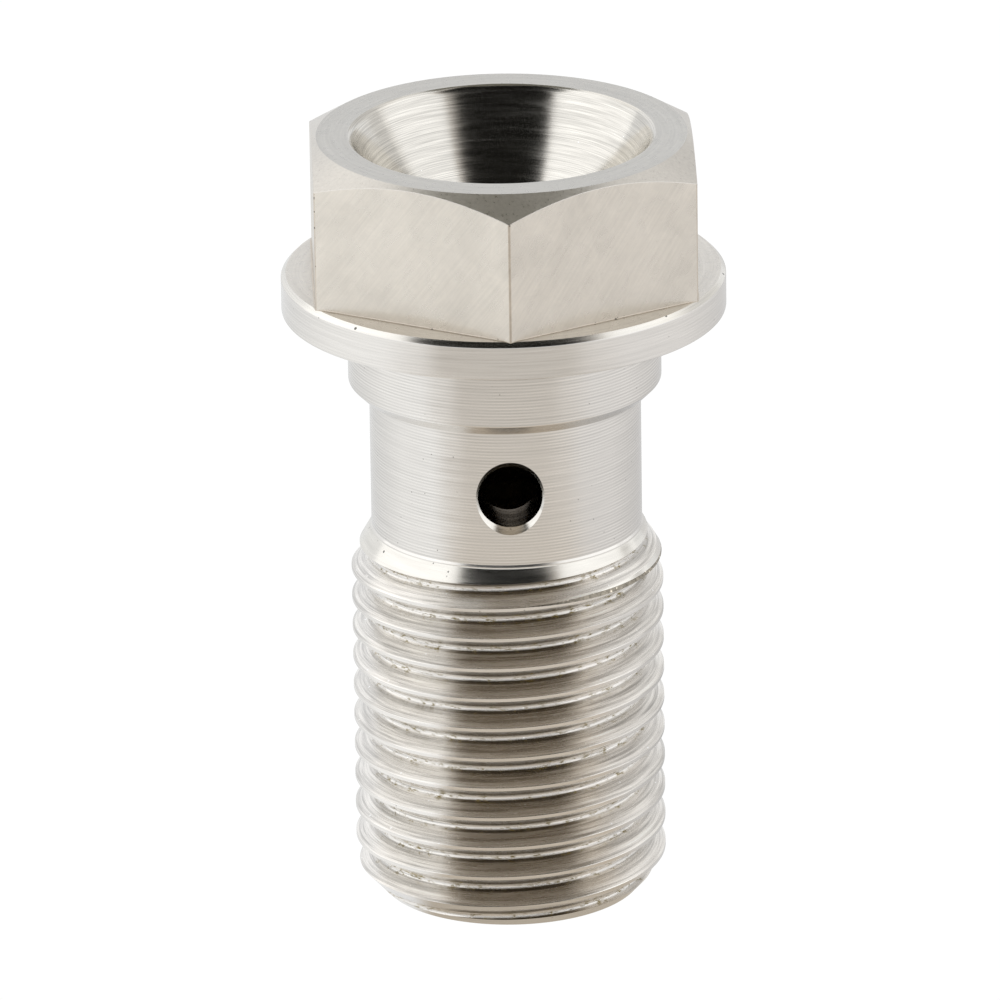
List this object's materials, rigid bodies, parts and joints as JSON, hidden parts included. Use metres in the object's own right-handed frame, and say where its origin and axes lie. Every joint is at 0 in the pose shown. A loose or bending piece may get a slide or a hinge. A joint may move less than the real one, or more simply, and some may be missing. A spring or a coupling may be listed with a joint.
{
  "type": "banjo bolt",
  "caption": "Hollow flanged hexagon bolt that carries fluid from a hose ring through a cross hole and an axial bore into a threaded port.",
  "frame": {"origin": "centre of the thread end's face, which is the plane that the bolt stands on", "axes": "+Z along the bolt's axis from the thread end to the head, -Y through the cross hole and one corner of the hexagon"},
  "size_m": [0.0138, 0.0138, 0.0249],
  "materials": {
    "turned_stainless": "bright turned stainless steel with fine tool marks, milled hexagon flats and a polished dish in the head"
  },
  "bodies": {
    "root": {"banjo_bolt": "turned_stainless"}
  },
  "joints": []
}
